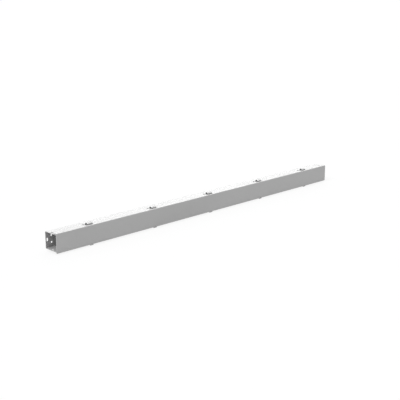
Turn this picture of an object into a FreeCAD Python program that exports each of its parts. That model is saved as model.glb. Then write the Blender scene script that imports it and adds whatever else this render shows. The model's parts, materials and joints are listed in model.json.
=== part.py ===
import FreeCAD, Part
import Sketcher
import math
import os

# Hinged cover wireway: a folded steel trough, open at the front, with a cover that swings down
# on five hinges along its lower edge and is held shut by five spring clips on top.
# X runs along the wireway, the cover faces -Y, Z is up. The origin is under the middle of the
# wireway, level with the lowest point of the hinge knuckles.

# Driving sizes in millimetres.
DRIVING = {
    "run_length": 1524,
    "trough_depth": 63.5,
    "trough_height": 63.5,
    "trough_gauge": 1.5,
    "trough_bend": 1.5,
    "lip_reach": 2,
    "lip_bend": 0.5,
    "cover_gauge": 1.5,
    "cover_bend": 0.5,
    "cover_drop": 4.3,
    "seat_gap": 0.3,
    "flange_depth": 17.5,
    "flange_gap": 0.3,
    "station_count": 5,
    "pin_diameter": 3,
    "pin_clearance": 0.05,
    "pin_chamfer": 0.3,
    "knuckle_gap": 0.3,
    "roll_angle": 15,
    "eye_width": 5,
    "ear_width": 3.6,
    "leaf_gauge": 1.5,
    "leaf_reach": 4,
    "leaf_joggle": 3,
    "leaf_pad_length": 16,
    "leaf_pad_width": 20,
    "leaf_corner": 4,
    "clip_gauge": 0.8,
    "clip_bend": 0.6,
    "clip_width": 24.4,
    "clip_side_length": 10.5,
    "clip_side_rise": 3.3,
    "clip_pad_length": 12,
    "clip_pad_space": 5,
    "clip_leg_lean": 4,
    "clip_crown": 2,
    "clip_crown_rise": 7,
    "clip_brow_back": 9.3,
    "clip_brow_rise": 4.2,
    "clip_nose_back": 6.5,
    "clip_nose_depth": 2.1,
    "strike_gap": 1,
    "strike_width": 4.4,
    "slot_width": 6,
    "slot_length": 12.5,
    "slot_inset": 7.1,
    "hole_diameter": 6.6,
    "hole_inset": 24.5,
    "hole_spacing": 25.4,
}

# Places and sizes worked out from the driving ones.
DERIVED = {
    "half_length": "run_length / 2",
    "station_pitch": "run_length / station_count",
    "first_station": "station_pitch / 2 - half_length",
    "front_y": "-(cover_gauge + seat_gap + trough_depth) / 2",
    "cover_back_y": "front_y + cover_gauge",
    "lip_front_y": "cover_back_y + seat_gap",
    "lip_back_y": "lip_front_y + trough_gauge",
    "back_y": "lip_front_y + trough_depth",
    "back_inner_y": "back_y - trough_gauge",
    "middle_y": "(lip_front_y + back_y) / 2",
    "eye_inner": "pin_diameter / 2 + pin_clearance",
    "ear_outer": "eye_inner + cover_gauge",
    "leaf_outer": "eye_inner + leaf_gauge",
    "axis_y": "front_y + ear_outer",
    "axis_z": "max(ear_outer; leaf_outer)",
    "bottom_z": "2 * axis_z + knuckle_gap + lip_reach",
    "bottom_inner_z": "bottom_z + trough_gauge",
    "bottom_lip_z": "bottom_z - lip_reach",
    "top_z": "bottom_z + trough_height",
    "top_inner_z": "top_z - trough_gauge",
    "top_lip_z": "top_z + lip_reach",
    "middle_z": "(bottom_z + top_z) / 2",
    "cover_bottom_z": "bottom_z - cover_drop",
    "flange_under_z": "top_lip_z + flange_gap",
    "cover_top_z": "flange_under_z + cover_gauge",
    "flange_back_y": "front_y + flange_depth",
    "roll_sine": "sin(roll_angle * 1 deg)",
    "roll_cosine": "cos(roll_angle * 1 deg)",
    "ear_end_y": "axis_y - ear_outer * roll_sine",
    "ear_end_z": "axis_z + ear_outer * roll_cosine",
    "ear_end_inner_y": "axis_y - eye_inner * roll_sine",
    "ear_end_inner_z": "axis_z + eye_inner * roll_cosine",
    "ear_root_z": "cover_bottom_z + cover_gauge",
    "left_ear_start": "first_station - eye_width / 2 - knuckle_gap - ear_width",
    "right_ear_start": "first_station + eye_width / 2 + knuckle_gap",
    "notch_left": "first_station - eye_width / 2 - knuckle_gap",
    "notch_right": "right_ear_start",
    "notch_top_z": "axis_z + leaf_outer + knuckle_gap",
    "leaf_strap_z": "axis_z + leaf_outer",
    "leaf_strap_under_z": "axis_z + eye_inner",
    "leaf_pad_under_z": "bottom_z - leaf_gauge",
    "leaf_step_y": "lip_back_y + leaf_reach",
    "leaf_pad_y": "leaf_step_y + leaf_joggle",
    "leaf_back_y": "leaf_pad_y + leaf_pad_length",
    "leaf_left": "-leaf_pad_width / 2",
    "leaf_right": "leaf_pad_width / 2",
    "leaf_end_y": "axis_y + leaf_outer * roll_cosine",
    "leaf_end_z": "axis_z + leaf_outer * roll_sine",
    "leaf_end_inner_y": "axis_y + eye_inner * roll_cosine",
    "leaf_end_inner_z": "axis_z + eye_inner * roll_sine",
    "pin_radius": "pin_diameter / 2",
    "pin_tip_radius": "pin_radius - pin_chamfer",
    "pin_end": "eye_width / 2 + knuckle_gap + ear_width",
    "pin_start": "-pin_end",
    "pin_right": "pin_end - pin_chamfer",
    "pin_left": "-pin_right",
    "clip_heel_y": "flange_back_y + clip_pad_space",
    "clip_back_y": "clip_heel_y + clip_pad_length",
    "clip_crown_back_y": "clip_heel_y - clip_leg_lean",
    "clip_crown_front_y": "clip_crown_back_y - clip_crown",
    "clip_crown_z": "cover_top_z + clip_crown_rise",
    "clip_brow_y": "flange_back_y - clip_brow_back",
    "clip_brow_z": "cover_top_z + clip_brow_rise",
    "clip_nose_y": "flange_back_y - clip_nose_back",
    "clip_nose_z": "cover_top_z - clip_nose_depth",
    "clip_side_right": "clip_width / 2 + clip_bend + clip_gauge",
    "clip_side_left": "-clip_side_right",
    "clip_side_z": "top_z + clip_side_rise",
    "strike_left": "first_station - clip_width / 2 - strike_gap",
    "strike_right": "first_station + clip_width / 2 + strike_gap",
    "strike_back_y": "clip_nose_y + strike_gap",
    "strike_front_y": "strike_back_y - strike_width",
    "slot_radius": "slot_width / 2",
    "slot_half": "(slot_length - slot_width) / 2",
    "slot_low_z": "middle_z - slot_half",
    "slot_high_z": "middle_z + slot_half",
    "slot_near_y": "middle_y - slot_half",
    "slot_far_y": "middle_y + slot_half",
    "slot_right": "half_length - slot_inset",
    "slot_left": "-slot_right",
    "hole_radius": "hole_diameter / 2",
    "hole_right": "half_length - hole_inset",
    "hole_left": "-hole_right",
    "hole_low_z": "middle_z - hole_spacing / 2",
    "hole_high_z": "middle_z + hole_spacing / 2",
    "centre_line": "0",
}

# Sketch point numbers, the sketch's own origin and the closeness that counts as the same place.
START = 1
END = 2
CENTRE = 3
ORIGIN = (-1, 1)
TOLERANCE = 0.001

doc = FreeCAD.newDocument("hinged_cover_wireway")
sheet = doc.addObject("Spreadsheet::Sheet", "Sizes")


def fill_sheet():
    """Write every driving and derived size into the sheet under its own alias."""
    entries = [(alias, str(number)) for alias, number in DRIVING.items()]
    entries += [(alias, "=" + formula) for alias, formula in DERIVED.items()]
    for row, (alias, content) in enumerate(entries, start=1):
        sheet.set(f"A{row}", alias)
        sheet.set(f"B{row}", content)
        sheet.setAlias(f"B{row}", alias)
    doc.recompute()


def size(alias):
    """Present value of a size in the sheet."""
    return float(sheet.get(alias))


def point(across, up):
    """Sketch point from two sizes."""
    return FreeCAD.Vector(size(across), size(up), 0)


def bind(item, target, alias):
    """Tie a property of a document object to a size."""
    item.setExpression(target, f"Sizes.{alias}")


def new_body(label):
    """Empty body under its own label."""
    body = doc.addObject("PartDesign::Body", label)
    body.Label = label
    return body


def new_sketch(body, name, role, offset=None):
    """Sketch on one of the body's own origin planes, moved along its normal by a size."""
    plane = next(item for item in body.Origin.OriginFeatures if item.Role == role)
    sketch = body.newObject("Sketcher::SketchObject", name)
    sketch.AttachmentSupport = [(plane, "")]
    sketch.MapMode = "FlatFace"
    if offset:
        bind(sketch, "AttachmentOffset.Base.z", offset)
    return sketch


def hold(sketch, kind, parts, alias):
    """Dimension in a sketch tied to a size."""
    index = sketch.addConstraint(Sketcher.Constraint(kind, *parts, size(alias)))
    bind(sketch, f"Constraints[{index}]", alias)


def hold_point(sketch, edge, end, across=None, up=None):
    """Tie a point of a sketch to sizes measured from the sketch's origin."""
    if across:
        hold(sketch, "DistanceX", (*ORIGIN, edge, end), across)
    if up:
        hold(sketch, "DistanceY", (*ORIGIN, edge, end), up)


def chain(sketch, edges, closed=True):
    """Join edges end to start, in order."""
    count = len(edges)
    for index in range(count if closed else count - 1):
        follower = edges[(index + 1) % count]
        sketch.addConstraint(Sketcher.Constraint("Coincident", edges[index], END, follower, START))


def polygon(sketch, corners):
    """Closed outline with straight sides through corners given as pairs of sizes."""
    spots = [point(*corner) for corner in corners]
    sides = zip(spots, spots[1:] + spots[:1])
    edges = [sketch.addGeometry(Part.LineSegment(near, far)) for near, far in sides]
    chain(sketch, edges)
    for edge, (across, up) in zip(edges, corners):
        hold_point(sketch, edge, START, across, up)


def rectangle(sketch, left, right, low, high):
    """Rectangle between four sizes."""
    polygon(sketch, [(left, low), (right, low), (right, high), (left, high)])


def circle(sketch, across, up, radius):
    """Circle with its centre and radius tied to sizes."""
    edge = sketch.addGeometry(Part.Circle(point(across, up), FreeCAD.Vector(0, 0, 1), size(radius)))
    hold_point(sketch, edge, CENTRE, across, up)
    hold(sketch, "Radius", (edge,), radius)


def obround(sketch, across, low, high, radius):
    """Slot that stands upright in the sketch, with round ends centred on low and high."""
    reach = FreeCAD.Vector(size(radius), 0, 0)
    top = point(across, high)
    bottom = point(across, low)
    crown = FreeCAD.Vector(0, size(radius), 0)
    upper = sketch.addGeometry(Part.Arc(top + reach, top + crown, top - reach))
    left = sketch.addGeometry(Part.LineSegment(top - reach, bottom - reach))
    lower = sketch.addGeometry(Part.Arc(bottom - reach, bottom - crown, bottom + reach))
    right = sketch.addGeometry(Part.LineSegment(bottom + reach, top + reach))
    ring = [upper, left, lower, right]
    for edge, follower in zip(ring, ring[1:] + ring[:1]):
        sketch.addConstraint(Sketcher.Constraint("Tangent", edge, END, follower, START))
    sketch.addConstraint(Sketcher.Constraint("Equal", upper, lower))
    hold_point(sketch, upper, CENTRE, across, high)
    hold_point(sketch, lower, CENTRE, across, low)
    hold(sketch, "Radius", (upper,), radius)


def pad(body, name, sketch, alias, both_ways=False):
    """Solid of a given length on a sketch."""
    feature = body.newObject("PartDesign::Pad", name)
    feature.Profile = sketch
    feature.SideType = "Symmetric" if both_ways else "One side"
    bind(feature, "Length", alias)
    return feature


def pocket(body, name, sketch, alias=None):
    """Cut of a given depth, or through everything both ways."""
    feature = body.newObject("PartDesign::Pocket", name)
    feature.Profile = sketch
    if alias:
        bind(feature, "Length", alias)
    else:
        feature.Type = "ThroughAll"
        feature.SideType = "Symmetric"
    return feature


def lengthwise_edges(shape, spots):
    """Names of the straight edges along X that pass through the given places in the section."""
    found = []
    for index, edge in enumerate(shape.Edges, start=1):
        sections = [FreeCAD.Vector(vertex.Y, vertex.Z, 0) for vertex in edge.Vertexes]
        for spot in spots:
            if len(sections) == 2 and all(near.distanceToPoint(spot) < TOLERANCE for near in sections):
                found.append(f"Edge{index}")
    return found


def round_bends(body, name, base, corners, formula):
    """Round the lengthwise edges at the given corners of the section."""
    doc.recompute()
    feature = body.newObject("PartDesign::Fillet", name)
    feature.Base = (base, lengthwise_edges(base.Shape, [point(*corner) for corner in corners]))
    feature.setExpression("Radius", formula)
    return feature


def repeat_along(body, name, originals):
    """Repeat features at every station along the wireway."""
    axis = next(item for item in body.Origin.OriginFeatures if item.Role == "X_Axis")
    feature = body.newObject("PartDesign::LinearPattern", name)
    feature.Originals = originals
    feature.Direction = (axis, [""])
    feature.setExpression("Length", "Sizes.station_pitch * (Sizes.station_count - 1)")
    feature.setExpression("Occurrences", "Sizes.station_count")
    body.Tip = feature
    return feature


def place_at_station(item, index):
    """Move a piece that is drawn about X = 0 to one of the stations."""
    item.setExpression("Placement.Base.x", f"Sizes.first_station + {index} * Sizes.station_pitch")


def make_trough():
    """Folded channel, open at the front, with outward lips, end slots and back holes."""
    body = new_body("trough")
    section = new_sketch(body, "trough_section", "YZ_Plane")
    polygon(section, [
        ("lip_front_y", "top_lip_z"),
        ("lip_back_y", "top_lip_z"),
        ("lip_back_y", "top_z"),
        ("back_y", "top_z"),
        ("back_y", "bottom_z"),
        ("lip_back_y", "bottom_z"),
        ("lip_back_y", "bottom_lip_z"),
        ("lip_front_y", "bottom_lip_z"),
        ("lip_front_y", "bottom_inner_z"),
        ("back_inner_y", "bottom_inner_z"),
        ("back_inner_y", "top_inner_z"),
        ("lip_front_y", "top_inner_z"),
    ])
    folded = pad(body, "trough_sheet", section, "run_length", both_ways=True)
    folded = round_bends(body, "back_outer_bends", folded,
                         [("back_y", "top_z"), ("back_y", "bottom_z")],
                         "Sizes.trough_bend + Sizes.trough_gauge")
    folded = round_bends(body, "back_inner_bends", folded,
                         [("back_inner_y", "top_inner_z"), ("back_inner_y", "bottom_inner_z")],
                         "Sizes.trough_bend")
    folded = round_bends(body, "lip_inner_bends", folded,
                         [("lip_back_y", "top_z"), ("lip_back_y", "bottom_z")],
                         "Sizes.lip_bend")
    round_bends(body, "lip_outer_bends", folded,
                [("lip_front_y", "top_inner_z"), ("lip_front_y", "bottom_inner_z")],
                "Sizes.lip_bend + Sizes.trough_gauge")

    # One coupling slot in the middle of the back, top and bottom walls at each end.
    back_slots = new_sketch(body, "back_slot_outlines", "XZ_Plane")
    wall_slots = new_sketch(body, "wall_slot_outlines", "XY_Plane")
    for side in ("slot_left", "slot_right"):
        obround(back_slots, side, "slot_low_z", "slot_high_z", "slot_radius")
        obround(wall_slots, side, "slot_near_y", "slot_far_y", "slot_radius")
    pocket(body, "back_slots", back_slots)
    pocket(body, "wall_slots", wall_slots)

    # Four round fixing holes in the back wall.
    fixings = new_sketch(body, "fixing_hole_outlines", "XZ_Plane")
    for side in ("hole_left", "hole_right"):
        for level in ("hole_low_z", "hole_high_z"):
            circle(fixings, side, level, "hole_radius")
    pocket(body, "fixing_holes", fixings)
    return body


def turn(centre, spot):
    """Angle of a point about a centre, from 0 to a full turn."""
    return math.atan2(spot.y - centre.y, spot.x - centre.x) % math.tau


def arc_about(sketch, centre, first, last):
    """Arc that turns to the left about a centre from one point to another."""
    ring = Part.Circle(centre, FreeCAD.Vector(0, 0, 1), centre.distanceToPoint(first))
    start = turn(centre, first)
    sweep = (turn(centre, last) - start) % math.tau
    return sketch.addGeometry(Part.ArcOfCircle(ring, start, start + sweep))


def rolled_strip(sketch, corners, outer, inner, end_held):
    """Closed outline of a sheet strip whose end is rolled into an eye round the hinge axis.

    The side after corner number outer is the eye's outside and the side after corner number
    inner its bore. The two corners of the rolled end lie on those arcs, so only one of their
    two places, across or up as end_held says, is tied to a size.
    """
    spots = [point(*corner) for corner in corners]
    centre = point("axis_y", "axis_z")
    sides = []
    for index, (near, far) in enumerate(zip(spots, spots[1:] + spots[:1])):
        if index == outer:
            sides.append((arc_about(sketch, centre, near, far), START, END))
        elif index == inner:
            sides.append((arc_about(sketch, centre, far, near), END, START))
        else:
            sides.append((sketch.addGeometry(Part.LineSegment(near, far)), START, END))
    for (edge, _, leaving), (follower, entering, _) in zip(sides, sides[1:] + sides[:1]):
        sketch.addConstraint(Sketcher.Constraint("Coincident", edge, leaving, follower, entering))
    for index, (edge, entering, _) in enumerate(sides):
        across, up = corners[index]
        if index in (outer + 1, inner):
            across, up = (across, None) if end_held == "across" else (None, up)
        hold_point(sketch, edge, entering, across, up)
        if index in (outer, inner):
            hold_point(sketch, edge, CENTRE, "axis_y", "axis_z")


def make_cover():
    """Flat cover with a top flange, strike slots for the clips and rolled hinge ears."""
    body = new_body("cover")
    section = new_sketch(body, "cover_section", "YZ_Plane")
    polygon(section, [
        ("front_y", "cover_bottom_z"),
        ("cover_back_y", "cover_bottom_z"),
        ("cover_back_y", "flange_under_z"),
        ("flange_back_y", "flange_under_z"),
        ("flange_back_y", "cover_top_z"),
        ("front_y", "cover_top_z"),
    ])
    folded = pad(body, "cover_sheet", section, "run_length", both_ways=True)
    folded = round_bends(body, "flange_outer_bend", folded, [("front_y", "cover_top_z")],
                         "Sizes.cover_bend + Sizes.cover_gauge")
    round_bends(body, "flange_inner_bend", folded, [("cover_back_y", "flange_under_z")], "Sizes.cover_bend")

    # The front sheet is notched where the leaf's eye comes through between the two ears.
    notch_outline = new_sketch(body, "notch_outline", "XZ_Plane")
    rectangle(notch_outline, "notch_left", "notch_right", "axis_z", "notch_top_z")
    features = [pocket(body, "eye_notch", notch_outline)]
    for side in ("left", "right"):
        ear_outline = new_sketch(body, f"{side}_ear_outline", "YZ_Plane", f"{side}_ear_start")
        rolled_strip(ear_outline, [
            ("front_y", "ear_root_z"),
            ("front_y", "axis_z"),
            ("ear_end_y", "ear_end_z"),
            ("ear_end_inner_y", "ear_end_inner_z"),
            ("cover_back_y", "axis_z"),
            ("cover_back_y", "ear_root_z"),
        ], outer=1, inner=3, end_held="across")
        features.append(pad(body, f"{side}_ear", ear_outline, "ear_width"))

    # The nose of each clip drops into a slot in the flange.
    strike_outline = new_sketch(body, "strike_outline", "XY_Plane", "cover_top_z")
    rectangle(strike_outline, "strike_left", "strike_right", "strike_front_y", "strike_back_y")
    features.append(pocket(body, "strike_slot", strike_outline, "cover_gauge"))
    repeat_along(body, "stations", features)
    return body


def make_leaf(index):
    """Hinge leaf welded under the trough, stepped down past the lip and rolled round the pin."""
    body = new_body(f"hinge_leaf_{index + 1}")
    strap_outline = new_sketch(body, f"strap_outline_{index + 1}", "YZ_Plane")
    rolled_strip(strap_outline, [
        ("axis_y", "leaf_strap_z"),
        ("leaf_end_y", "leaf_end_z"),
        ("leaf_end_inner_y", "leaf_end_inner_z"),
        ("axis_y", "leaf_strap_under_z"),
        ("leaf_step_y", "leaf_strap_under_z"),
        ("leaf_pad_y", "leaf_pad_under_z"),
        ("leaf_back_y", "leaf_pad_under_z"),
        ("leaf_back_y", "bottom_z"),
        ("leaf_pad_y", "bottom_z"),
        ("leaf_step_y", "leaf_strap_z"),
    ], outer=0, inner=2, end_held="up")
    pad(body, f"strap_{index + 1}", strap_outline, "eye_width", both_ways=True)
    plate_outline = new_sketch(body, f"plate_outline_{index + 1}", "XY_Plane", "leaf_pad_under_z")
    rectangle(plate_outline, "leaf_left", "leaf_right", "leaf_pad_y", "leaf_back_y")
    plate = pad(body, f"plate_{index + 1}", plate_outline, "leaf_gauge")
    doc.recompute()
    corners = body.newObject("PartDesign::Fillet", f"plate_corners_{index + 1}")
    corners.Base = (plate, plate_corner_edges(plate.Shape))
    bind(corners, "Radius", "leaf_corner")
    place_at_station(body, index)
    return body


def plate_corner_edges(shape):
    """Upright edges at the four corners of a hinge leaf's plate."""
    names = []
    for number, edge in enumerate(shape.Edges, start=1):
        box = edge.BoundBox
        upright = max(box.XLength, box.YLength) < TOLERANCE
        if upright and abs(abs(box.Center.x) - size("leaf_right")) < TOLERANCE:
            names.append(f"Edge{number}")
    return names


def make_pin(index):
    """Plain hinge pin, chamfered at both ends and flush with the cover's ears."""
    body = new_body(f"hinge_pin_{index + 1}")
    half_section = new_sketch(body, f"pin_half_section_{index + 1}", "XZ_Plane")
    polygon(half_section, [
        ("pin_start", "centre_line"),
        ("pin_end", "centre_line"),
        ("pin_end", "pin_tip_radius"),
        ("pin_right", "pin_radius"),
        ("pin_left", "pin_radius"),
        ("pin_start", "pin_tip_radius"),
    ])
    turning = body.newObject("PartDesign::Revolution", f"pin_turning_{index + 1}")
    turning.Profile = half_section
    turning.ReferenceAxis = (half_section, ["H_Axis"])
    place_at_station(body, index)
    bind(body, "Placement.Base.y", "axis_y")
    bind(body, "Placement.Base.z", "axis_z")
    return body


def bent_strip(name, across, path, length, radii, both_ways=False, start=None):
    """Sheet strip of the clip's gauge, bent to an open line and rounded at its bends.

    The line lies in the plane of Z and the axis named by across, moved along Y to the size named by
    start. It is thickened to one side, which the order of its points picks, and drawn out square to
    that plane. Each bend has one radius on the line itself and one on the other side of the sheet.
    """
    along = FreeCAD.Vector(1, 0, 0) if across == "X" else FreeCAD.Vector(0, 1, 0)
    upright = FreeCAD.Vector(0, 0, 1)
    square = along.cross(upright)
    line = doc.addObject("Sketcher::SketchObject", f"{name}_line")
    line.Placement.Rotation = FreeCAD.Rotation(along, upright, square, "ZXY")
    if start:
        bind(line, "Placement.Base.y", start)
    spots = [point(*corner) for corner in path]
    edges = [line.addGeometry(Part.LineSegment(near, far)) for near, far in zip(spots, spots[1:])]
    chain(line, edges, closed=False)
    for edge, corner in zip(edges, path):
        hold_point(line, edge, START, *corner)
    hold_point(line, edges[-1], END, *path[-1])

    strip = doc.addObject("Part::Offset2D", f"{name}_strip")
    strip.Source = line
    strip.Mode = "Skin"
    strip.Join = "Intersection"
    strip.Fill = True
    bind(strip, "Value", "clip_gauge")
    blank = doc.addObject("Part::Extrusion", f"{name}_blank")
    blank.Base = strip
    blank.DirMode = "Custom"
    blank.Dir = square
    blank.Symmetric = both_ways
    blank.Solid = True
    bind(blank, "LengthFwd", length)
    doc.recompute()

    rounds = []
    for corner, (line_radius, other_radius) in zip(spots[1:-1], radii):
        on_line = edge_numbers(blank.Shape, across, corner, 0, TOLERANCE)
        opposite = edge_numbers(blank.Shape, across, corner, TOLERANCE, 2 * size("clip_gauge"))
        rounds += [(edge, line_radius, line_radius) for edge in on_line]
        rounds += [(edge, other_radius, other_radius) for edge in opposite]
    bent = doc.addObject("Part::Fillet", f"{name}_bent")
    bent.Base = blank
    bent.Edges = rounds
    return bent


def edge_numbers(shape, across, spot, nearest, furthest):
    """Numbers of the edges along a strip whose distance from a place in its section lies in a band."""
    numbers = []
    for number, edge in enumerate(shape.Edges, start=1):
        sections = [FreeCAD.Vector(getattr(vertex, across), vertex.Z, 0) for vertex in edge.Vertexes]
        if all(nearest <= section.distanceToPoint(spot) <= furthest for section in sections):
            numbers.append(number)
    return numbers


def make_clip(index):
    """Spring clip: pad with turned-up sides, arch over the flange edge, nose in the strike slot."""
    number = index + 1
    tight = size("clip_bend")
    wide = tight + size("clip_gauge")

    # The line runs under the sheet, which is hollow above at the heel and below at the other bends.
    arch = bent_strip(f"clip_arch_{number}", "Y", [
        ("clip_back_y", "top_z"),
        ("clip_heel_y", "top_z"),
        ("clip_crown_back_y", "clip_crown_z"),
        ("clip_crown_front_y", "clip_crown_z"),
        ("clip_brow_y", "clip_brow_z"),
        ("clip_nose_y", "clip_nose_z"),
    ], "clip_width", [(wide, tight), (tight, wide), (tight, wide), (tight, wide)], both_ways=True)
    sides = bent_strip(f"clip_sides_{number}", "X", [
        ("clip_side_left", "clip_side_z"),
        ("clip_side_left", "top_z"),
        ("clip_side_right", "top_z"),
        ("clip_side_right", "clip_side_z"),
    ], "clip_side_length", [(wide, tight), (wide, tight)], start="clip_back_y")
    clip = doc.addObject("Part::MultiFuse", f"latch_clip_{number}")
    clip.Label = f"latch_clip_{number}"
    clip.Shapes = [arch, sides]
    clip.Refine = True
    place_at_station(clip, index)
    return clip


def check(pieces):
    """Stop if any object failed or any piece has no sound shape."""
    for item in doc.Objects:
        if "Invalid" in item.State or "Error" in item.State:
            raise RuntimeError(f"{item.Label} failed: {item.State}")
    for piece in pieces:
        if piece.Shape.isNull() or not piece.Shape.isValid():
            raise RuntimeError(f"{piece.Label} has no sound shape")


def main():
    """Build every piece and write it out under its own name."""
    fill_sheet()
    pieces = [make_trough(), make_cover()]
    for index in range(round(size("station_count"))):
        pieces += [make_leaf(index), make_pin(index), make_clip(index)]
    doc.recompute()
    check(pieces)
    os.makedirs("parts", exist_ok=True)
    for piece in pieces:
        piece.Shape.exportStep(f"parts/{piece.Label}.step")
        box = piece.Shape.BoundBox
        print(f"{piece.Label}: {len(piece.Shape.Solids)} solid(s), {piece.Shape.Volume:.1f} mm3, "
              f"{box.XLength:.2f} x {box.YLength:.2f} x {box.ZLength:.2f} mm")


main()
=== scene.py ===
"""Looks of a hinged cover wireway: grey powder-coated sheet steel with zinc-plated hinge pins.

Lengths are in metres, in the part's own frame: X runs along the wireway, the cover faces -Y and
Z is up. The sheet-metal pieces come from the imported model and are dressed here. The small
fasteners, which are the clips' rivets and the weld marks under the hinge leaves, are made here.
"""

import json
import logging
from dataclasses import dataclass
from enum import Enum
from math import cos, pi, radians, sin, tan
from typing import Any, ClassVar

import bpy
import numpy as np
from mathutils import Matrix, Vector

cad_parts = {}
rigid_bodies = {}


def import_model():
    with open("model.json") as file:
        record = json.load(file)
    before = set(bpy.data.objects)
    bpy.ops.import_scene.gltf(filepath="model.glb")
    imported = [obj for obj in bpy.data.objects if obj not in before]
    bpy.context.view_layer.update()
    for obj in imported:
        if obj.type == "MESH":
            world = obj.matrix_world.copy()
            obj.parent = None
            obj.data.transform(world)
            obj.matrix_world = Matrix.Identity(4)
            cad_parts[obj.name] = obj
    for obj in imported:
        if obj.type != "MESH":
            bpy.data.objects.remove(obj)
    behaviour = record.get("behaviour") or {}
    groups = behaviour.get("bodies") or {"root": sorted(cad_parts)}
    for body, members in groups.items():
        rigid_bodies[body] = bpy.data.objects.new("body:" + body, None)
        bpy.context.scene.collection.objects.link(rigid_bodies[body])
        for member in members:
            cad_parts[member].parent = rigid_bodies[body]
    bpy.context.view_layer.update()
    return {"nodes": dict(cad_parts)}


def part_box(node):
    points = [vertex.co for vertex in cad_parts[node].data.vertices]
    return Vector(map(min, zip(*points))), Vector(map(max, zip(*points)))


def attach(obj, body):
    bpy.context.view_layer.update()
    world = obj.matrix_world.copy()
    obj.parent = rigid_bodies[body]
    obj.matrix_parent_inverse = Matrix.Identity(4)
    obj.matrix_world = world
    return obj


LOG = logging.getLogger("wireway")
MILLIMETRE = 0.001

Colour = tuple[float, float, float]
Span = tuple[float, float]
Stretch = tuple[float, float, float]

WHITE: Colour = (1.0, 1.0, 1.0)
FULL_SPAN: Span = (0.0, 1.0)
# Noise seldom leaves this span, so it is spread from here over the range that is wanted.
NOISE_SPAN: Span = (0.3, 0.7)


class Body(str, Enum):
    """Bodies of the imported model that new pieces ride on."""

    TROUGH = "trough_body"


class Slot(str, Enum):
    """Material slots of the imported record."""

    PAINT = "painted_steel"
    PLATING = "pin_steel"


class SocketKind(str, Enum):
    """Kinds of socket that the shared effects use."""

    VECTOR = "NodeSocketVector"
    NUMBER = "NodeSocketFloat"


class Operation(str, Enum):
    """Ways to make one number of two in a node tree."""

    TIMES = "MULTIPLY"
    LESS = "SUBTRACT"
    LARGER = "MAXIMUM"


def opaque(colour: Colour) -> tuple[float, float, float, float]:
    """Add the full cover that a colour socket asks for."""
    return (*colour, 1.0)


class Graph:
    """A node tree with short ways to add nodes and join them."""

    def __init__(self, tree: bpy.types.NodeTree) -> None:
        """Take over the tree of a material, a world or a node group, and clear it."""
        self.tree = tree
        tree.nodes.clear()

    def feed(self, socket: bpy.types.NodeSocket, value: Any) -> None:
        """Link an input to another node's output, or set it to a plain value.

        Args:
            socket: Input to feed.
            value: Output socket or plain value.
        """
        if isinstance(value, bpy.types.NodeSocket):
            self.tree.links.new(value, socket)
        else:
            socket.default_value = value

    def add(self, kind: str, inputs: dict[Any, Any] | None = None,
            **settings: Any) -> bpy.types.Node:
        """Add a node, set its properties and feed its inputs.

        Args:
            kind: Blender's name of the node type.
            inputs: Input name or number to a plain value or to another node's output socket.
            **settings: Properties of the node itself.

        Returns:
            The new node.
        """
        node = self.tree.nodes.new(kind)
        for name, value in settings.items():
            setattr(node, name, value)
        for key, value in (inputs or {}).items():
            self.feed(node.inputs[key], value)
        return node

    def place(self) -> bpy.types.NodeSocket:
        """Add a socket with the Object coordinates of the point that is shaded."""
        return self.add("ShaderNodeTexCoord").outputs["Object"]

    def join(self, operation: Operation, first: Any, second: Any) -> bpy.types.NodeSocket:
        """Make one number of two, each a plain value or a socket."""
        node = self.add("ShaderNodeMath", {0: first, 1: second}, operation=operation.value)
        return node.outputs["Value"]

    def mix_colour(self, share: bpy.types.NodeSocket, low: Any, high: Any) -> bpy.types.NodeSocket:
        """Blend two colours.

        Args:
            share: Socket that runs from 0, all low, to 1, all high.
            low: Colour with its cover, or colour socket.
            high: Colour with its cover, or colour socket.

        Returns:
            Socket with the blended colour.
        """
        node = self.add("ShaderNodeMix", data_type="RGBA")
        sockets = {socket.identifier: socket for socket in [*node.inputs, *node.outputs]}
        self.feed(sockets["Factor_Float"], share)
        self.feed(sockets["A_Color"], low)
        self.feed(sockets["B_Color"], high)
        return sockets["Result_Color"]

    def remap(self, value: bpy.types.NodeSocket, source: Span,
              target: Span) -> bpy.types.NodeSocket:
        """Map a value from one range to another, held at the ends.

        Args:
            value: Socket to map.
            source: Lowest and highest value that comes in.
            target: Values that those two become.

        Returns:
            Socket with the mapped value.
        """
        node = self.add("ShaderNodeMapRange", {
            "Value": value,
            "From Min": source[0],
            "From Max": source[1],
            "To Min": target[0],
            "To Max": target[1],
        })
        return node.outputs["Result"]

    def stretched(self, vector: bpy.types.NodeSocket, scale: Stretch) -> bpy.types.NodeSocket:
        """Scale coordinates by factors along X, Y and Z."""
        return self.add("ShaderNodeMapping", {"Vector": vector, "Scale": scale}).outputs["Vector"]

    def noise(self, vector: bpy.types.NodeSocket, scale: Any,
              octaves: float) -> bpy.types.NodeSocket:
        """Add noise from 0 to 1, with its cells per metre and its octaves of finer noise."""
        inputs = {"Vector": vector, "Scale": scale, "Detail": octaves}
        return self.add("ShaderNodeTexNoise", inputs).outputs["Fac"]


def new_group(name: str, inputs: dict[str, SocketKind],
              outputs: list[str]) -> tuple[Graph, bpy.types.Node, bpy.types.Node]:
    """Start a shader node group with named sockets.

    Args:
        name: Name of the group.
        inputs: Input names to their kinds.
        outputs: Names of the numbers that it puts out.

    Returns:
        The group's graph, its input node and its output node.
    """
    tree = bpy.data.node_groups.new(name, "ShaderNodeTree")
    for label, kind in inputs.items():
        tree.interface.new_socket(name=label, in_out="INPUT", socket_type=kind.value)
    for label in outputs:
        tree.interface.new_socket(
            name=label, in_out="OUTPUT", socket_type=SocketKind.NUMBER.value)
    graph = Graph(tree)
    return graph, graph.add("NodeGroupInput"), graph.add("NodeGroupOutput")


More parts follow.
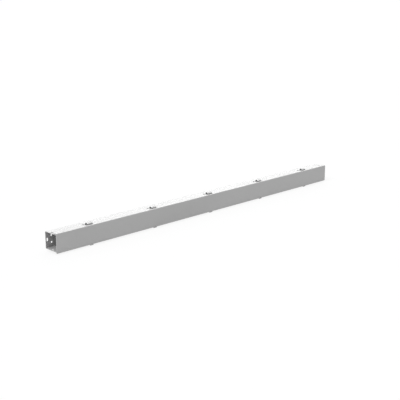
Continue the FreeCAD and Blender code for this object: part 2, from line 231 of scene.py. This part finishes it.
@dataclass
class Effects:
    """Shader node groups that the finishes share, each built once."""

    grain: bpy.types.NodeTree
    drift: bpy.types.NodeTree
    scuffs: bpy.types.NodeTree

    GRAIN_OCTAVES: ClassVar[float] = 1.0
    MOTTLE_SHARE: ClassVar[float] = 0.1
    MOTTLE_OCTAVES: ClassVar[float] = 3.0
    DRIFT_STRETCH: ClassVar[Stretch] = (0.35, 1.0, 1.0)
    DRIFT_OCTAVES: ClassVar[float] = 2.0
    STREAK_STRETCH: ClassVar[Stretch] = (0.12, 1.0, 1.0)
    STREAK_OCTAVES: ClassVar[float] = 4.0
    SCUFF_EDGE: ClassVar[Span] = (0.0, 0.08)

    @classmethod
    def build(cls) -> "Effects":
        """Build every group."""
        return cls(cls.build_grain(), cls.build_drift(), cls.build_scuffs())

    @classmethod
    def build_grain(cls) -> bpy.types.NodeTree:
        """Close grain of a skin: rounded cells as height, and a softer mottle ten times as wide.

        Returns:
            Group that takes coordinates and the cells per metre and gives Height and Mottle.
        """
        graph, given, result = new_group(
            "close_grain",
            {"Vector": SocketKind.VECTOR, "Cells": SocketKind.NUMBER},
            ["Height", "Mottle"],
        )
        vector, cells = given.outputs["Vector"], given.outputs["Cells"]
        patches = graph.join(Operation.TIMES, cells, cls.MOTTLE_SHARE)
        graph.feed(result.inputs["Height"], graph.noise(vector, cells, cls.GRAIN_OCTAVES))
        graph.feed(result.inputs["Mottle"], graph.noise(vector, patches, cls.MOTTLE_OCTAVES))
        return graph.tree

    @classmethod
    def build_drift(cls) -> bpy.types.NodeTree:
        """Slow change of tone: noise drawn out along the run, because sheet is coated lengthwise.

        Returns:
            Group that takes coordinates and the patches per metre and gives Tone.
        """
        graph, given, result = new_group(
            "tone_drift",
            {"Vector": SocketKind.VECTOR, "Patches": SocketKind.NUMBER},
            ["Tone"],
        )
        drawn_out = graph.stretched(given.outputs["Vector"], cls.DRIFT_STRETCH)
        tone = graph.noise(drawn_out, given.outputs["Patches"], cls.DRIFT_OCTAVES)
        graph.feed(result.inputs["Tone"], tone)
        return graph.tree

    @classmethod
    def build_scuffs(cls) -> bpy.types.NodeTree:
        """Sparse handling scuffs: thin noise streaks along the run, kept only above a threshold.

        Returns:
            Group that takes coordinates, the streaks per metre and the threshold and gives Mask.
        """
        graph, given, result = new_group(
            "handling_scuffs",
            {
                "Vector": SocketKind.VECTOR,
                "Streaks": SocketKind.NUMBER,
                "Threshold": SocketKind.NUMBER,
            },
            ["Mask"],
        )
        drawn_out = graph.stretched(given.outputs["Vector"], cls.STREAK_STRETCH)
        streaks = graph.noise(drawn_out, given.outputs["Streaks"], cls.STREAK_OCTAVES)
        excess = graph.join(Operation.LESS, streaks, given.outputs["Threshold"])
        graph.feed(result.inputs["Mask"], graph.remap(excess, cls.SCUFF_EDGE, FULL_SPAN))
        return graph.tree


def new_material(name: str) -> tuple[bpy.types.Material, Graph]:
    """Start a node material.

    Args:
        name: Name of the material.

    Returns:
        The material and its graph.
    """
    material = bpy.data.materials.new(name)
    material.use_nodes = True
    return material, Graph(material.node_tree)


def use_group(graph: Graph, tree: bpy.types.NodeTree, inputs: dict[str, Any]) -> bpy.types.Node:
    """Place a shared effect in a material with its own values and links."""
    return graph.add("ShaderNodeGroup", inputs, node_tree=tree)


@dataclass(frozen=True)
class PowderCoat:
    """Satin grey powder coat with a fine orange peel."""

    name: str = "grey_powder_coat"
    pale: Colour = (0.342, 0.342, 0.342)
    deep: Colour = (0.328, 0.328, 0.328)
    scuffed: Colour = (0.365, 0.365, 0.365)
    smoothest: float = 0.47
    dullest: float = 0.52
    refraction: float = 1.48
    peel_cells: float = 520.0
    peel_height: float = 0.04 * MILLIMETRE
    peel_strength: float = 0.5
    patches: float = 14.0
    scuff_streaks: float = 90.0
    scuff_threshold: float = 0.66

    def material(self, effects: Effects) -> bpy.types.Material:
        """Make the coat's material.

        Args:
            effects: Shared effects that it uses.

        Returns:
            The material.
        """
        material, graph = new_material(self.name)
        place = graph.place()
        grain = use_group(graph, effects.grain, {"Vector": place, "Cells": self.peel_cells})
        drift = use_group(graph, effects.drift, {"Vector": place, "Patches": self.patches})
        scuffs = use_group(graph, effects.scuffs, {
            "Vector": place, "Streaks": self.scuff_streaks, "Threshold": self.scuff_threshold,
        })
        tone = graph.remap(drift.outputs["Tone"], NOISE_SPAN, FULL_SPAN)
        coat = graph.mix_colour(tone, opaque(self.deep), opaque(self.pale))
        gloss_span = (self.smoothest, self.dullest)
        bump = graph.add("ShaderNodeBump", {
            "Height": grain.outputs["Height"],
            "Strength": self.peel_strength,
            "Distance": self.peel_height,
        })
        shader = graph.add("ShaderNodeBsdfPrincipled", {
            "Base Color": graph.mix_colour(scuffs.outputs["Mask"], coat, opaque(self.scuffed)),
            "Roughness": graph.remap(grain.outputs["Mottle"], NOISE_SPAN, gloss_span),
            "Normal": bump.outputs["Normal"],
            "IOR": self.refraction,
        })
        graph.add("ShaderNodeOutputMaterial", {"Surface": shader.outputs["BSDF"]})
        return material


@dataclass(frozen=True)
class ZincPlate:
    """Zinc plating on bare steel, with a dull bloom in places."""

    name: str = "zinc_plate"
    bright: Colour = (0.60, 0.605, 0.61)
    dull: Colour = (0.47, 0.475, 0.48)
    smoothest: float = 0.28
    dullest: float = 0.40
    ridge_cells: float = 900.0
    ridge_height: float = 0.02 * MILLIMETRE
    ridge_strength: float = 0.4
    scuff_streaks: float = 400.0
    scuff_threshold: float = 0.6

    def material(self, effects: Effects) -> bpy.types.Material:
        """Make the plating's material.

        Args:
            effects: Shared effects that it uses.

        Returns:
            The material.
        """
        material, graph = new_material(self.name)
        place = graph.place()
        grain = use_group(graph, effects.grain, {"Vector": place, "Cells": self.ridge_cells})
        scuffs = use_group(graph, effects.scuffs, {
            "Vector": place, "Streaks": self.scuff_streaks, "Threshold": self.scuff_threshold,
        })
        bloom = graph.remap(grain.outputs["Mottle"], NOISE_SPAN, FULL_SPAN)
        plate = graph.mix_colour(bloom, opaque(self.dull), opaque(self.bright))
        gloss_span = (self.dullest, self.smoothest)
        bump = graph.add("ShaderNodeBump", {
            "Height": grain.outputs["Height"],
            "Strength": self.ridge_strength,
            "Distance": self.ridge_height,
        })
        shader = graph.add("ShaderNodeBsdfPrincipled", {
            "Base Color": graph.mix_colour(scuffs.outputs["Mask"], plate, opaque(self.bright)),
            "Roughness": graph.remap(grain.outputs["Mottle"], NOISE_SPAN, gloss_span),
            "Normal": bump.outputs["Normal"],
            "Metallic": 1.0,
        })
        graph.add("ShaderNodeOutputMaterial", {"Surface": shader.outputs["BSDF"]})
        return material


@dataclass
class Finishes:
    """Materials of the wireway by slot, each built once."""

    materials: dict[Slot, bpy.types.Material]

    @classmethod
    def build(cls) -> "Finishes":
        """Build every finish with the shared effects.

        Returns:
            The built materials.
        """
        effects = Effects.build()
        return cls({
            Slot.PAINT: PowderCoat().material(effects),
            Slot.PLATING: ZincPlate().material(effects),
        })

    def dress(self, item: bpy.types.Object, slot: Slot) -> None:
        """Give every face of an object one finish, and report it.

        Args:
            item: Object to dress.
            slot: Slot that its finish comes from.
        """
        material = self.materials[slot]
        item.data.materials.clear()
        item.data.materials.append(material)
        LOG.info("%s: %s", item.name, material.name)


def turned_mesh(name: str, profile: np.ndarray, centres: np.ndarray,
                segments: int) -> bpy.types.Mesh:
    """Closed turned solids of one profile about upright axes through several centres.

    A point of the surface is centre + (r cos a, r sin a, h), where (r, h) runs along the profile
    from its lower pole to its upper pole, both at r = 0, and a goes once round the axis.

    Args:
        name: Name of the mesh.
        profile: Radius and height pairs, one row each, first and last on the axis.
        centres: One row with the place of each copy's axis and zero height.
        segments: Number of steps round the axis.

    Returns:
        The mesh.
    """
    angles = np.linspace(0.0, 2.0 * pi, segments, endpoint=False)
    rings = profile[1:-1]
    around = np.stack([np.cos(angles), np.sin(angles)], axis=-1)
    wall = np.empty((len(rings), segments, 3))
    wall[..., :2] = rings[:, None, :1] * around[None]
    wall[..., 2] = rings[:, None, 1]
    poles = np.array([[0.0, 0.0, profile[0, 1]], [0.0, 0.0, profile[-1, 1]]])
    single = np.concatenate([wall.reshape(-1, 3), poles])
    points = (centres[:, None, :] + single[None]).reshape(-1, 3)

    numbers = np.arange(len(rings) * segments).reshape(len(rings), segments)
    following = np.roll(numbers, -1, axis=1)
    corners = [numbers[:-1], following[:-1], following[1:], numbers[1:]]
    quads = np.stack(corners, axis=-1).reshape(-1, 4)
    low_pole = np.full(segments, len(single) - 2)
    high_pole = np.full(segments, len(single) - 1)
    low_fan = np.stack([low_pole, following[0], numbers[0]], axis=-1)
    high_fan = np.stack([high_pole, numbers[-1], following[-1]], axis=-1)
    fans = np.concatenate([low_fan, high_fan])
    shifts = np.arange(len(centres)) * len(single)
    all_quads = (shifts[:, None, None] + quads[None]).reshape(-1, 4)
    all_fans = (shifts[:, None, None] + fans[None]).reshape(-1, 3)
    mesh = bpy.data.meshes.new(name)
    mesh.from_pydata(points.tolist(), [], all_quads.tolist() + all_fans.tolist())
    mesh.polygons.foreach_set("use_smooth", np.ones(len(mesh.polygons), dtype=bool))
    mesh.update()
    return mesh


def pair_along(middle: float, spacing: float, across: float, height: float) -> np.ndarray:
    """Two places along X, each half the spacing from the middle.

    Args:
        middle: X between the two.
        spacing: Distance from one to the other.
        across: Y of both.
        height: Z of both.

    Returns:
        One row with X, Y and Z for each place.
    """
    along = middle + np.array([-0.5, 0.5]) * spacing
    return np.column_stack([along, np.full(2, across), np.full(2, height)])


def lowest_behind(item: bpy.types.Object, limit: float) -> float:
    """Lowest height among the points of an object that lie behind a limit in Y.

    Args:
        item: Object with its place in its mesh.
        limit: Y that the points lie behind.

    Returns:
        The height.
    """
    flat = np.empty(3 * len(item.data.vertices), dtype=np.float32)
    item.data.vertices.foreach_get("co", flat)
    points = flat.reshape(-1, 3).astype(float)
    return float(points[points[:, 1] > limit, 2].min())


def new_piece(mesh: bpy.types.Mesh, finishes: Finishes, body: Body, slot: Slot) -> None:
    """Make an object of a mesh, dress it, and let it ride on a body.

    Args:
        mesh: Mesh with its place in it.
        finishes: Materials to choose from.
        body: Body that carries it.
        slot: Material slot that its finish comes from.
    """
    piece = bpy.data.objects.new(mesh.name, mesh)
    bpy.context.scene.collection.objects.link(piece)
    finishes.dress(piece, slot)
    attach(piece, body.value)


@dataclass
class Casing:
    """The folded trough and its cover."""

    trough: str = "trough"
    cover: str = "cover"

    def build(self, nodes: dict[str, bpy.types.Object], finishes: Finishes) -> None:
        """Dress both sheets with the coat.

        Args:
            nodes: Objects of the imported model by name.
            finishes: Materials to choose from.
        """
        for name in (self.trough, self.cover):
            finishes.dress(nodes[name], Slot.PAINT)


@dataclass
class Hinge:
    """One hinge: a leaf welded under the trough and the pin through its eye."""

    number: int
    weld_radius: float = 2.6 * MILLIMETRE
    weld_rim: float = 0.2 * MILLIMETRE
    weld_spacing: float = 10.0 * MILLIMETRE
    weld_inset: float = 8.0 * MILLIMETRE
    # From the middle out: radius as a share of weld_radius, depth as a share of weld_rim.
    crater: tuple[Span, ...] = ((0.0, 0.35), (0.55, 0.35), (0.72, 0.8), (0.86, 1.0), (1.0, 0.0))
    sunk: float = 0.05 * MILLIMETRE
    segments: int = 24

    def weld_profile(self) -> np.ndarray:
        """Shallow crater: level in the middle, a rim near its edge, closed inside the plate.

        Returns:
            Radius and height pairs from the lower pole to the upper, heights from the plate.
        """
        open_side = np.array(self.crater) * (self.weld_radius, -self.weld_rim)
        closed_side = np.array([[self.weld_radius, self.sunk], [0.0, self.sunk]])
        return np.concatenate([open_side, closed_side])

    def build(self, nodes: dict[str, bpy.types.Object], finishes: Finishes) -> None:
        """Dress the leaf and the pin, and make the two weld marks under the leaf's plate.

        Args:
            nodes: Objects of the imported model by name.
            finishes: Materials to choose from.
        """
        leaf = f"hinge_leaf_{self.number}"
        finishes.dress(nodes[leaf], Slot.PAINT)
        finishes.dress(nodes[f"hinge_pin_{self.number}"], Slot.PLATING)
        low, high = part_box(leaf)
        across = high.y - self.weld_inset
        centres = pair_along(
            (low.x + high.x) / 2, self.weld_spacing, across, lowest_behind(nodes[leaf], across))
        name = f"leaf_welds_{self.number}"
        mesh = turned_mesh(name, self.weld_profile(), centres, self.segments)
        new_piece(mesh, finishes, Body.TROUGH, Slot.PAINT)


@dataclass
class LatchClip:
    """One spring clip and the two rivets that hold its pad to the trough's top."""

    number: int
    sheet: float = 0.8 * MILLIMETRE
    wall: float = 1.5 * MILLIMETRE
    pad: float = 12.0 * MILLIMETRE
    rivet_spacing: float = 14.0 * MILLIMETRE
    head_radius: float = 3.1 * MILLIMETRE
    head_height: float = 1.4 * MILLIMETRE
    rim_height: float = 0.35 * MILLIMETRE
    tail_radius: float = 2.5 * MILLIMETRE
    tail_height: float = 1.0 * MILLIMETRE
    tail_rounding: float = 0.4 * MILLIMETRE
    sunk: float = 0.05 * MILLIMETRE
    dome_steps: int = 7
    segments: int = 28

    def head_profile(self) -> np.ndarray:
        """Low dome on a short rim: r = R cos a and h = rim + (height - rim) sin a.

        The angle a goes through a quarter turn, from the rim to the pole.

        Returns:
            Radius and height pairs from the lower pole to the upper, heights from the pad.
        """
        turn = np.linspace(0.0, pi / 2, self.dome_steps)
        dome = np.stack([
            self.head_radius * np.cos(turn),
            self.rim_height + (self.head_height - self.rim_height) * np.sin(turn),
        ], axis=-1)
        dome[-1, 0] = 0.0
        base = np.array([[0.0, -self.sunk], [self.head_radius, -self.sunk]])
        return np.concatenate([base, dome])

    def tail_profile(self) -> np.ndarray:
        """Upset tail: a flat disc, its lower edge a quarter circle, closed just inside the wall.

        Returns:
            Radius and height pairs from the lower pole to the upper, heights from the wall.
        """
        turn = np.linspace(-pi / 2, 0.0, self.dome_steps)
        edge = np.stack([
            self.tail_radius - self.tail_rounding + self.tail_rounding * np.cos(turn),
            -self.tail_height + self.tail_rounding + self.tail_rounding * np.sin(turn),
        ], axis=-1)
        low = np.array([[0.0, -self.tail_height]])
        top = np.array([[self.tail_radius, self.sunk], [0.0, self.sunk]])
        return np.concatenate([low, edge, top])

    def build(self, nodes: dict[str, bpy.types.Object], finishes: Finishes) -> None:
        """Dress the clip and make its rivets, heads on the pad and tails under the trough's top.

        Args:
            nodes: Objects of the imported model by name.
            finishes: Materials to choose from.
        """
        clip = f"latch_clip_{self.number}"
        finishes.dress(nodes[clip], Slot.PAINT)
        low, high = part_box(clip)
        across = high.y - self.pad / 2
        seat = lowest_behind(nodes[clip], across)
        plan = [
            (f"rivet_heads_{self.number}", self.head_profile(), seat + self.sheet),
            (f"rivet_tails_{self.number}", self.tail_profile(), seat - self.wall),
        ]
        for name, profile, height in plan:
            centres = pair_along((low.x + high.x) / 2, self.rivet_spacing, across, height)
            mesh = turned_mesh(name, profile, centres, self.segments)
            new_piece(mesh, finishes, Body.TROUGH, Slot.PAINT)


def direction(azimuth: float, rise: float) -> Vector:
    """Unit vector from the part towards a place round it.

    Args:
        azimuth: Degrees round the part, 0 before the cover and 90 off the right end.
        rise: Degrees above level.

    Returns:
        The vector.
    """
    turn, lift = radians(azimuth), radians(rise)
    return Vector((sin(turn) * cos(lift), -cos(turn) * cos(lift), sin(lift)))


@dataclass(frozen=True)
class Lamp:
    """Far lamp: its energy, the width of its disc in degrees and where it shines from."""

    name: str
    energy: float
    spread: float
    azimuth: float
    rise: float


@dataclass
class Studio:
    """Camera, light and floor."""

    target: tuple[float, float, float] = (-0.01521, 0.01728, 0.04546)
    azimuth: float = -45.0
    elevation: float = 15.0
    distance: float = 3.40234
    field_of_view: float = 27.0
    sensor: float = 36.0
    nearest: float = 0.01
    furthest: float = 500.0
    sky: float = 1.02
    lamps: tuple[Lamp, ...] = (
        Lamp("overhead", energy=1.5, spread=14.0, azimuth=0.0, rise=90.0),
        Lamp("side", energy=2.1, spread=20.0, azimuth=-90.0, rise=45.0),
        Lamp("back", energy=0.88, spread=30.0, azimuth=135.0, rise=30.0),
    )
    floor_colour: Colour = (0.49, 0.49, 0.49)
    floor_glow: float = 0.85
    floor_drop: float = 0.2 * MILLIMETRE
    floor_reach: float = 80.0

    def build(self) -> None:
        """Set up the view, the light and the floor."""
        scene = bpy.context.scene
        scene.view_settings.view_transform = "Standard"
        self.place_camera(scene)
        self.light_world(scene)
        self.hang_lamps(scene)
        self.lay_floor(scene)
        LOG.info("studio: camera, sky, %d lamps, floor", len(self.lamps))

    def place_camera(self, scene: bpy.types.Scene) -> None:
        """Put the camera where the photograph was taken from.

        Args:
            scene: Scene that gets the camera.
        """
        back = direction(self.azimuth, self.elevation)
        data = bpy.data.cameras.new("camera")
        data.sensor_width = self.sensor
        data.lens = self.sensor / 2 / tan(radians(self.field_of_view) / 2)
        data.clip_start = self.nearest
        data.clip_end = self.furthest
        camera = bpy.data.objects.new("camera", data)
        camera.matrix_world = (
            Matrix.Translation(Vector(self.target) + back * self.distance)
            @ (-back).to_track_quat("-Z", "Y").to_matrix().to_4x4()
        )
        scene.collection.objects.link(camera)
        scene.camera = camera

    def light_world(self, scene: bpy.types.Scene) -> None:
        """Make an even white sky.

        Args:
            scene: Scene that gets the world.
        """
        world = bpy.data.worlds.new("sky")
        world.use_nodes = True
        scene.world = world
        graph = Graph(world.node_tree)
        light = graph.add("ShaderNodeBackground", {"Strength": self.sky, "Color": opaque(WHITE)})
        graph.add("ShaderNodeOutputWorld", {"Surface": light.outputs["Background"]})

    def hang_lamps(self, scene: bpy.types.Scene) -> None:
        """Hang a lamp overhead, one that looks in at the left end, and a low one that skims the top.

        A lamp of this kind shines down its own -Z axis.

        Args:
            scene: Scene that gets the lamps.
        """
        for lamp in self.lamps:
            data = bpy.data.lights.new(lamp.name, "SUN")
            data.energy = lamp.energy
            data.angle = radians(lamp.spread)
            light = bpy.data.objects.new(lamp.name, data)
            toward = direction(lamp.azimuth, lamp.rise)
            light.rotation_euler = toward.to_track_quat("Z", "Y").to_euler()
            scene.collection.objects.link(light)

    def lay_floor(self, scene: bpy.types.Scene) -> None:
        """Lay a wide level floor just under the part, of a grey that this light turns white.

        The camera and reflections see it mixed with plain white, so the part's shadow is light.

        Args:
            scene: Scene that gets the floor.
        """
        side = np.array([-self.floor_reach, self.floor_reach])
        across, along = np.meshgrid(side, side)
        points = np.column_stack([across.ravel(), along.ravel(), np.full(4, -self.floor_drop)])
        mesh = bpy.data.meshes.new("floor")
        mesh.from_pydata(points.tolist(), [], [(0, 1, 3, 2)])
        material, graph = new_material("pale_floor")
        diffuse = graph.add("ShaderNodeBsdfDiffuse", {"Color": opaque(self.floor_colour)})
        white = graph.add("ShaderNodeEmission", {"Color": opaque(WHITE), "Strength": 1.0})
        path = graph.add("ShaderNodeLightPath")
        seen = path.outputs["Is Camera Ray"]
        for ray in ("Is Glossy Ray", "Is Transmission Ray"):
            seen = graph.join(Operation.LARGER, seen, path.outputs[ray])
        mix = graph.add("ShaderNodeMixShader", {
            0: graph.join(Operation.TIMES, seen, self.floor_glow),
            1: diffuse.outputs["BSDF"],
            2: white.outputs["Emission"],
        })
        graph.add("ShaderNodeOutputMaterial", {"Surface": mix.outputs["Shader"]})
        floor = bpy.data.objects.new("floor", mesh)
        mesh.materials.append(material)
        scene.collection.objects.link(floor)


def clear_scene() -> None:
    """Take out whatever the start-up file holds."""
    for item in list(bpy.data.objects):
        bpy.data.objects.remove(item)


def main() -> None:
    """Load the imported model, dress it, add the small fasteners and set up the studio."""
    logging.basicConfig(level=logging.INFO, format="%(name)s: %(message)s")
    clear_scene()
    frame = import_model()
    nodes = frame["nodes"]
    finishes = Finishes.build()
    Casing().build(nodes, finishes)
    stations = sum(name.startswith("hinge_pin_") for name in nodes)
    for number in range(1, stations + 1):
        Hinge(number).build(nodes, finishes)
        LatchClip(number).build(nodes, finishes)
    Studio().build()


if __name__ == "__main__":
    main()
